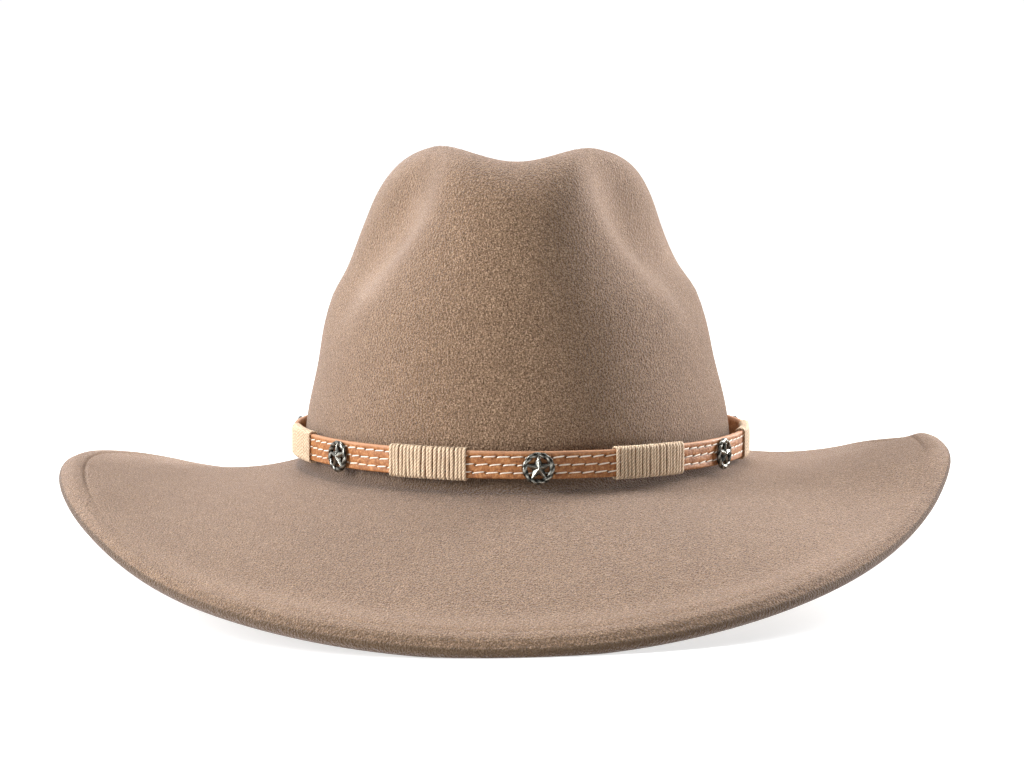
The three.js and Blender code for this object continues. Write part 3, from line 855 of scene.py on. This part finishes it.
# Stitches: three rows in channels, each stitch a short slanted thread between two holes, left
# out where a wrap hides it by more than UNDER_WRAP. The spreads are those of its random draws.
ROW_SHARES = (0.20, 0.49, 0.78)
ROW_STARTS = (1.1, 3.4, 2.2)
STITCH_COUNT = 121
STITCH_PITCH = BAND_TOTAL / STITCH_COUNT
STITCH_SIZE = 4.75
STITCH_SLANT = 0.20
STITCH_PROUD = 0.10
STITCH_DIVE = 0.34
DIVE_SHARPNESS = 5
END_THINNING = 0.35
HOOK_UP = 0.16
HOOK_DOWN = 0.22
SIZE_SPREAD = 0.04
SLANT_SPREAD = 0.12
THREAD_SPREAD = 0.10
THREAD_HALF = 0.26
THREAD_FLATNESS = 0.8
THREAD_SIDES = 7
THREAD_STEPS = 9
CHANNEL_DEPTH = 0.16
CHANNEL_HALF = 0.55
HOLE_DEPTH = 0.45
HOLE_HALF = 0.46
HOLE_ALONG = 0.15
HOLE_UP = -0.12
# Painted shade in the stitch holes: the hole strengths over which it fades in
HOLE_SHADE_FADE = (0.15625, 0.78125)
UNDER_WRAP = 4


def row_height(share):
    return STRAP_HEIGHT * (0.5 - share)


def strap_section():
    """Outline of the strap's section: outward, up, and how much it shows the pale colour of its
    edge, which only the top edge has, so that it is partly a painted highlight.
    """
    out, up, corner = STRAP_THICKNESS / 2, STRAP_HEIGHT / 2, STRAP_ROUNDING
    back_up = up - BACK_CHAMFER
    bends = [math.pi / 2 * i / CORNER_STEPS for i in range(1, CORNER_STEPS)]
    section = []
    for i in range(FACE_STEPS + 1):
        pale = smooth_between(i, FACE_STEPS - 2, FACE_STEPS)
        section.append((out, mixed(corner - up, up - corner, i / FACE_STEPS), pale))
    for a in bends:
        section.append((out - corner * (1 - math.cos(a)), up - corner * (1 - math.sin(a)), 1))
    section += [(out - corner, up, 1), (EDGE_MIDDLE, up + EDGE_CROWN, 1)]
    section += [(BACK_CHAMFER - out, up, 1), (-out, back_up, 1)]
    for i in range(1, BACK_STEPS):
        section.append((-out, mixed(back_up, -back_up, i / BACK_STEPS), 0))
    section += [(-out, -back_up, 0), (BACK_CHAMFER - out, -up, 0)]
    section += [(EDGE_MIDDLE, -up - EDGE_CROWN, 0), (out - corner, -up, 0)]
    for a in bends:
        section.append((out - corner * (1 - math.sin(a)), corner * (1 - math.cos(a)) - up, 0))
    return np.array(section)


def build_strap():
    section = strap_section()
    out, up, pale = section.T
    along = np.linspace(0, BAND_TOTAL, STRAP_STEPS, endpoint=False)[:, None]
    on_face = out > STRAP_THICKNESS / 2 - TINY
    depth = -WAVE_HEIGHT * np.sin(2 * np.pi * WAVE_COUNT * along / BAND_TOTAL) * np.sin(up / 2)
    hole_shade = np.zeros_like(depth)
    for share, start in zip(ROW_SHARES, ROW_STARTS):
        off = up - row_height(share)
        from_hole = (along - start + STITCH_PITCH / 2) % STITCH_PITCH - STITCH_PITCH / 2
        beside = (from_hole - HOLE_ALONG) / HOLE_HALF
        above = (off - HOLE_UP) / HOLE_HALF
        hole = np.exp(-(beside**2) - above**2)
        depth += CHANNEL_DEPTH * np.exp(-((off / CHANNEL_HALF) ** 2)) + HOLE_DEPTH * hole
        # Painted shade in and round the stitch holes
        hole_shade = np.maximum(hole_shade, smooth_between(hole, *HOLE_SHADE_FADE))
    points = band_points(along, out - np.where(on_face, depth, 0), up)
    faces = grid_faces(STRAP_STEPS, len(section), close_rows=True)
    obj = new_object("strap", points, faces, LEATHER)
    paint(obj, "hole_shade", np.where(on_face, hole_shade, 0))
    paint(obj, "edge", np.tile(pale, STRAP_STEPS))
    return obj


strap = build_strap()


def hidden_by_wrap(length):
    """How far a length lies inside the nearest cord wrap, below zero outside."""
    offset = (length - station(1) + STATION_STEP) % (2 * STATION_STEP) - STATION_STEP
    return WRAP_LENGTH / 2 - abs(offset)


def stitch_rings(middle, height, size, slant, thick, wave):
    """Rings of one stitch, whose ends dive into their holes, and the painted shade of each point."""
    points, valley_shade = [], []
    for i in range(THREAD_STEPS):
        t = i / (THREAD_STEPS - 1)
        dive = abs(2 * t - 1) ** DIVE_SHARPNESS
        hook = HOOK_UP * share_between(t, 0.86, 1.0) - HOOK_DOWN * share_between(t, 0.16, 0.0)
        swell = thick * (1 - END_THINNING * dive) * (1 + 0.05 * math.sin(9 * t + wave))
        along = middle + (t - 0.5) * size
        out = STRAP_THICKNESS / 2 - CHANNEL_DEPTH + STITCH_PROUD - STITCH_DIVE * dive
        up = height + slant * (2 * t - 1) + hook
        for j in range(THREAD_SIDES):
            a = 2 * math.pi * j / THREAD_SIDES
            side_out = THREAD_FLATNESS * swell * math.cos(a)
            points.append((along, out + side_out, up + swell * math.sin(a)))
            valley_shade.append(0.5 * dive)
    return points, valley_shade


def build_stitches():
    points, faces, valley_shade = [], [], []
    last = (THREAD_STEPS - 1) * THREAD_SIDES
    thread_faces = grid_faces(THREAD_STEPS, THREAD_SIDES)
    thread_faces.append(tuple(range(THREAD_SIDES)))
    thread_faces.append(tuple(last + j for j in reversed(range(THREAD_SIDES))))
    for share, start in zip(ROW_SHARES, ROW_STARTS):
        for k in range(STITCH_COUNT):
            middle = start + (k + 0.5) * STITCH_PITCH
            if hidden_by_wrap(middle) > UNDER_WRAP:
                continue
            size = STITCH_SIZE * (1 + rng.uniform(-SIZE_SPREAD, SIZE_SPREAD))
            slant = STITCH_SLANT + rng.uniform(-SLANT_SPREAD, SLANT_SPREAD)
            thick = THREAD_HALF * (1 + rng.uniform(-THREAD_SPREAD, THREAD_SPREAD))
            made, deep = stitch_rings(middle, row_height(share), size, slant, thick, k)
            faces += moved_faces(thread_faces, len(points))
            points += made
            valley_shade += deep
    obj = new_object("strap_stitches", band_points(*np.array(points).T), faces, STITCH_THREAD)
    paint(obj, "valley_shade", valley_shade)
    return obj


stitches = build_stitches()

# Cord wraps: turns of a three-ply cord wound round the strap. The spreads are those of the
# random draws for each turn.
TURNS = 20
CORD_STEPS = 132
CORD_SIDES = 12
CORD_WIDTH = 1.50
PLY_PITCH = 3.9
PLY_APART = 0.47
PLY_HALF = 0.53
LOOP_ROUNDING = 1.15
LOOP_CORNER_STEPS = 16
END_TURN_PROUD = 0.05
PLACE_SPREAD = 0.10
LEAN_SPREAD = 0.07
WIDTH_SPREAD = 0.02
PROUD_SPREAD = 0.03
WOBBLE = 0.05
WOBBLE_WAVES = 3


def rounded_loop(half_out, half_up, radius, count):
    """Even points and outward directions on a rounded rectangle, and its length."""
    points, outward = [], []
    for side_out, side_up, turn in ((1, 1, 0), (-1, 1, 90), (-1, -1, 180), (1, -1, 270)):
        for i in range(LOOP_CORNER_STEPS + 1):
            a = math.radians(turn + 90 * i / LOOP_CORNER_STEPS)
            out = side_out * (half_out - radius) + radius * math.cos(a)
            up = side_up * (half_up - radius) + radius * math.sin(a)
            points.append((out, up))
            outward.append((math.cos(a), math.sin(a)))
    points = np.array(points + points[:1])
    outward = np.array(outward + outward[:1])
    length = np.concatenate([[0], np.cumsum(np.hypot(*np.diff(points, axis=0).T))])
    at = np.linspace(0, length[-1], count, endpoint=False)
    loop = np.stack([np.interp(at, length, points[:, i]) for i in (0, 1)], 1)
    away = np.stack([np.interp(at, length, outward[:, i]) for i in (0, 1)], 1)
    away /= np.linalg.norm(away, axis=1)[:, None]
    return loop, away, length[-1]


def ply_radius(angle):
    """Outline of three round strands laid together, 1 at the widest."""
    folded = (angle + np.pi / 3) % (2 * np.pi / 3) - np.pi / 3
    return PLY_APART * np.cos(folded) + np.sqrt(PLY_HALF**2 - (PLY_APART * np.sin(folded)) ** 2)


def build_wrap(index):
    start = station(2 * index - 1, f"cord_wrap_{index}") - WRAP_LENGTH / 2 + CORD_WIDTH / 2
    half_out = STRAP_THICKNESS / 2 + FIT_GAP + CORD_THICKNESS / 2
    half_up = STRAP_HEIGHT / 2 + FIT_GAP + CORD_THICKNESS / 2
    loop, away, length = rounded_loop(half_out, half_up, LOOP_ROUNDING, CORD_STEPS)
    pitch = (WRAP_LENGTH - CORD_WIDTH) / (TURNS - 1)
    spin_turns = round(length / PLY_PITCH)
    angle = np.linspace(0, 2 * np.pi, CORD_SIDES, endpoint=False)
    share = np.arange(CORD_STEPS) / CORD_STEPS
    turn_faces = grid_faces(CORD_STEPS, CORD_SIDES, close_rows=True)
    points, valley_shade, faces = [], [], []
    for k in range(TURNS):
        shift = rng.normal(0, PLACE_SPREAD)
        lean = rng.normal(0, LEAN_SPREAD)
        size = 1 + rng.normal(0, WIDTH_SPREAD)
        proud = rng.normal(0, PROUD_SPREAD) + (END_TURN_PROUD if k in (0, TURNS - 1) else 0)
        first_spin = rng.uniform(0, 2 * np.pi)
        wobble = WOBBLE * np.sin(2 * np.pi * share * WOBBLE_WAVES + rng.uniform(0, 6.28))
        middle = start + k * pitch + shift + lean * loop[:, 1] / half_up + wobble
        spin = first_spin + 2 * np.pi * spin_turns * share
        r = ply_radius(angle + spin[:, None])
        along = middle[:, None] + CORD_WIDTH / 2 * size * r * np.cos(angle)
        deep = CORD_THICKNESS / 2 * r * np.sin(angle) + proud
        out = loop[:, :1] + away[:, :1] * deep
        up = loop[:, 1:] + away[:, 1:] * deep
        points.append(band_points(along, out, up))
        # Painted shade in the valleys between the strands
        valley_shade.append((1 - r) / (1 - r.min()))
        faces += moved_faces(turn_faces, k * CORD_STEPS * CORD_SIDES)
    obj = new_object(f"wrap_{index}", np.concatenate(points), faces, WAXED_CORD)
    paint(obj, "valley_shade", np.concatenate(valley_shade))
    return obj


wraps = [build_wrap(i + 1) for i in range(STATION_COUNT // 2)]

# Conchos: a rope ring round a ridged star, open between them
CONCHO_RADIUS = (CONCHO_DIAMETER - CONCHO_ROPE_WIDTH) / 2
ROPE_STEPS = 132
ROPE_SIDES = 14
ROPE_STRANDS = 2
ROPE_TWISTS = 11
ROPE_LOBE = 0.09
STAR_STEPS = 160
STAR_FACE_ROWS = 12
STAR_SKIRT_ROWS = 4
STAR_TIP = 1.02 * CONCHO_RADIUS
STAR_WAIST = 0.45 * CONCHO_RADIUS
ARM_HALF = math.pi / 5
ARM_END_HEIGHT = 1.45
FACET_SLOPE = 0.72
FACET_FOOT = 0.62
SKIRT_DEPTH = 0.2
SKIRT_TAPER = 0.03
STAR_TILT = 9
FIRST_STAR_TILT = 7


def rope_mesh():
    around = np.linspace(0, 2 * np.pi, ROPE_STEPS, endpoint=False)[:, None]
    angle = np.linspace(0, 2 * np.pi, ROPE_SIDES, endpoint=False)
    spin = around * ROPE_TWISTS / ROPE_STRANDS
    lobe = 1 - ROPE_LOBE + ROPE_LOBE * np.cos(ROPE_STRANDS * (angle + spin))
    reach = CONCHO_RADIUS + CONCHO_ROPE_WIDTH / 2 * lobe * np.cos(angle)
    high = CONCHO_ROPE_HEIGHT / 2 * (1 + lobe * np.sin(angle))
    points = np.stack([reach * np.cos(around), reach * np.sin(around), high], -1)
    proud = (lobe - 1 + 2 * ROPE_LOBE) / (2 * ROPE_LOBE)
    shine = proud * (0.15 + 0.75 * high / CONCHO_ROPE_HEIGHT)
    faces = grid_faces(ROPE_STEPS, ROPE_SIDES, close_rows=True)
    return points.reshape(-1, 3), faces, np.clip(shine, 0, 1).ravel()


def star_mesh():
    """Star whose arms have a ridge, with many small steps so that its facets are slightly soft,
    and a short skirt under its edge."""
    around = 2 * np.pi * np.arange(STAR_STEPS) / STAR_STEPS
    sector = (around / (2 * ARM_HALF)) % 1
    from_ridge = (1 - 2 * np.abs(sector - 0.5)) * ARM_HALF
    waist_x, waist_y = STAR_WAIST * math.cos(ARM_HALF), STAR_WAIST * math.sin(ARM_HALF)
    slant = waist_y * np.cos(from_ridge) - (waist_x - STAR_TIP) * np.sin(from_ridge)
    edge = STAR_TIP * waist_y / slant
    reach, high, shine = [], [], []
    for t in np.linspace(0, 1, STAR_FACE_ROWS):
        ridge = mixed(CONCHO_THICKNESS, ARM_END_HEIGHT, edge * t / STAR_TIP)
        off = np.abs(np.sin(from_ridge)) * edge * t
        reach.append(edge * t)
        high.append(np.maximum(ridge - FACET_SLOPE * off, FACET_FOOT))
        shine.append(np.clip(0.95 - 0.75 * off, 0.1, 1))
    for t in np.arange(1, STAR_SKIRT_ROWS + 1) / STAR_SKIRT_ROWS:
        reach.append(edge * (1 - SKIRT_TAPER * t))
        high.append(np.full(STAR_STEPS, FACET_FOOT - SKIRT_DEPTH * t))
        shine.append(np.full(STAR_STEPS, 0.1))
    reach, turn = np.array(reach), around + np.pi / 2
    points = np.stack([reach * np.cos(turn), reach * np.sin(turn), high], -1).reshape(-1, 3)
    rows = STAR_FACE_ROWS + STAR_SKIRT_ROWS
    faces = grid_faces(rows, STAR_STEPS)
    centre, last = len(points), (rows - 1) * STAR_STEPS
    for i in range(STAR_STEPS):
        faces.append((last + i, centre, last + (i + 1) % STAR_STEPS))
    points = np.append(points, [[0, 0, FACET_FOOT - SKIRT_DEPTH]], 0)
    return points, faces, np.append(shine, 0)


def build_concho(index, rope, star):
    at = station(2 * (index - 1), f"concho_{index}")
    base = STRAP_THICKNESS / 2 + FIT_GAP
    first_tilt = FIRST_STAR_TILT if index == 1 else 0
    tilt = math.radians(rng.uniform(-STAR_TILT, STAR_TILT) + first_tilt)
    rope_points, rope_faces, rope_shine = rope
    star_points, star_faces, star_shine = star
    faces = rope_faces + moved_faces(star_faces, len(rope_points))
    turn = np.array(Matrix.Rotation(tilt, 3, "Z"))
    points = np.concatenate([rope_points, star_points]) @ turn.T
    origin, ahead, behind = band_points([at, at + 0.5, at - 0.5], base, -CONCHO_DROP)
    right = (ahead - behind) / np.linalg.norm(ahead - behind)
    up = band_points(at, base, 1.0 - CONCHO_DROP) - origin
    basis = np.stack([right, up, np.cross(right, up)], 1)
    obj = new_object(f"star_concho_{index}", points @ basis.T + origin, faces, METAL)
    paint(obj, "height", np.concatenate([rope_shine, star_shine]))
    return obj


rope, star = rope_mesh(), star_mesh()
conchos = [build_concho(i + 1, rope, star) for i in range(STATION_COUNT // 2)]

# What each piece is in the frame
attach(felt, "root")
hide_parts("felt_body")
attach(strap, "root")
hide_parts("band_strap")
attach(stitches, "root")
for number, piece in enumerate(wraps, 1):
    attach(piece, "root")
    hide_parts(f"cord_wrap_{number}")
for number, piece in enumerate(conchos, 1):
    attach(piece, "root")
    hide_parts(f"concho_{number}")

# Floor: pale, with a glow of its own that fades out in front of the hat and grows behind it
FLOOR_HALF = 25.0
FLOOR_DROP = 0.0002
FLOOR_GREY = 0.48
FLOOR_CORNERS = ((-1, -1), (1, -1), (1, 1), (-1, 1))
floor_mesh = bpy.data.meshes.new("floor")
floor_points = [(FLOOR_HALF * x, FLOOR_HALF * y, 0) for x, y in FLOOR_CORNERS]
floor_mesh.from_pydata(floor_points, [], [(0, 1, 2, 3)])
floor = bpy.data.objects.new("floor", floor_mesh)
floor.location.z = -FLOOR_DROP
bpy.context.scene.collection.objects.link(floor)
floor_look = Nodes("floor")
floor_look.set(Base_Color=(FLOOR_GREY, FLOOR_GREY, FLOOR_GREY, 1.0), Roughness=0.9)
floor_look.set(Specular_IOR_Level=0.1, Emission_Color=(1.0, 1.0, 1.0, 1.0))
near_glow = floor_look.map(floor_look.axis("Y"), -0.80, -0.42, -0.68, 0.0)
far_glow = floor_look.map(floor_look.axis("Y"), 0.30, 4.0, 0.68, 0.90)
glow = floor_look.math("ADD", near_glow, far_glow)
floor_look.link(glow, floor_look.shader.inputs["Emission Strength"])
floor_mesh.materials.append(floor_look.material)

# Sky: soft white light, dim in front of the hat and bright behind it, turned a little aside
SKY_FRONT = 0.08
SKY_BACK = 1.02
SKY_TURN = -0.28
SKY_FADE = (-0.6, 0.9)
world = bpy.data.worlds.new("studio")
world.use_nodes = True
sky = world.node_tree
sky_light = sky.nodes["Background"]
sky_light.inputs["Color"].default_value = (1.0, 1.0, 1.0, 1.0)
sky_place = sky.nodes.new("ShaderNodeTexCoord")
sky_axes = sky.nodes.new("ShaderNodeSeparateXYZ")
sky_turn = sky.nodes.new("ShaderNodeMath")
sky_turn.operation = "MULTIPLY_ADD"
sky_turn.inputs[1].default_value = SKY_TURN
sky_level = sky.nodes.new("ShaderNodeMapRange")
for key, number in zip(MAP_ENDS, (*SKY_FADE, SKY_FRONT, SKY_BACK)):
    sky_level.inputs[key].default_value = number
sky.links.new(sky_place.outputs["Generated"], sky_axes.inputs["Vector"])
sky.links.new(sky_axes.outputs["X"], sky_turn.inputs[0])
sky.links.new(sky_axes.outputs["Y"], sky_turn.inputs[2])
sky.links.new(sky_turn.outputs["Value"], sky_level.inputs["Value"])
sky.links.new(sky_level.outputs["Result"], sky_light.inputs["Strength"])
bpy.context.scene.world = world
bpy.context.scene.view_settings.view_transform = "Standard"

# Lights and camera, aimed at a height on the hat's own axis
CAMERA_AIM = 42.2
TARGET = Vector(settle([0, 0, CAMERA_AIM])) * MM


def soft_box(name, place, width, height, power):
    data = bpy.data.lights.new(name, "AREA")
    data.shape = "RECTANGLE"
    data.size, data.size_y = width, height
    data.energy = power
    obj = bpy.data.objects.new(name, data)
    obj.location = place
    obj.rotation_euler = (TARGET - Vector(place)).to_track_quat("-Z", "Y").to_euler()
    bpy.context.scene.collection.objects.link(obj)


soft_box("overhead", (0.0, 0.30, 1.35), 1.3, 1.0, 25)
soft_box("left_side", (-1.25, -0.50, 0.60), 0.5, 0.8, 29)
soft_box("right_side", (1.28, 0.72, 0.58), 0.5, 0.8, 41)

# The photograph's width, focal length and shift are in its pixels
IMAGE_WIDTH = 1024
FOCAL_PIXELS = 3210
SHIFT_X = -4
SHIFT_Y = -30
SENSOR_WIDTH = 36.0
DISTANCE = 1.3
ELEVATION = math.radians(4.99) + math.atan2(TURN[2, 1], TURN[1, 1])
ROLL = math.radians(0.9)
back = Vector((0, -math.cos(ELEVATION), math.sin(ELEVATION)))
right = Vector((1, 0, 0))
up = back.cross(right)
rolled_right = right * math.cos(ROLL) - up * math.sin(ROLL)
rolled_up = up * math.cos(ROLL) + right * math.sin(ROLL)
camera_turn = Matrix((rolled_right, rolled_up, back)).transposed().to_4x4()
camera_data = bpy.data.cameras.new("camera")
camera_data.sensor_width = SENSOR_WIDTH
camera_data.lens = SENSOR_WIDTH * FOCAL_PIXELS / IMAGE_WIDTH
camera_data.shift_x = SHIFT_X / IMAGE_WIDTH
camera_data.shift_y = SHIFT_Y / IMAGE_WIDTH
camera_data.clip_start = 0.05
camera_data.clip_end = 100
camera = bpy.data.objects.new("camera", camera_data)
camera.matrix_world = Matrix.Translation(TARGET + back * DISTANCE) @ camera_turn
bpy.context.scene.collection.objects.link(camera)
bpy.context.scene.camera = camera
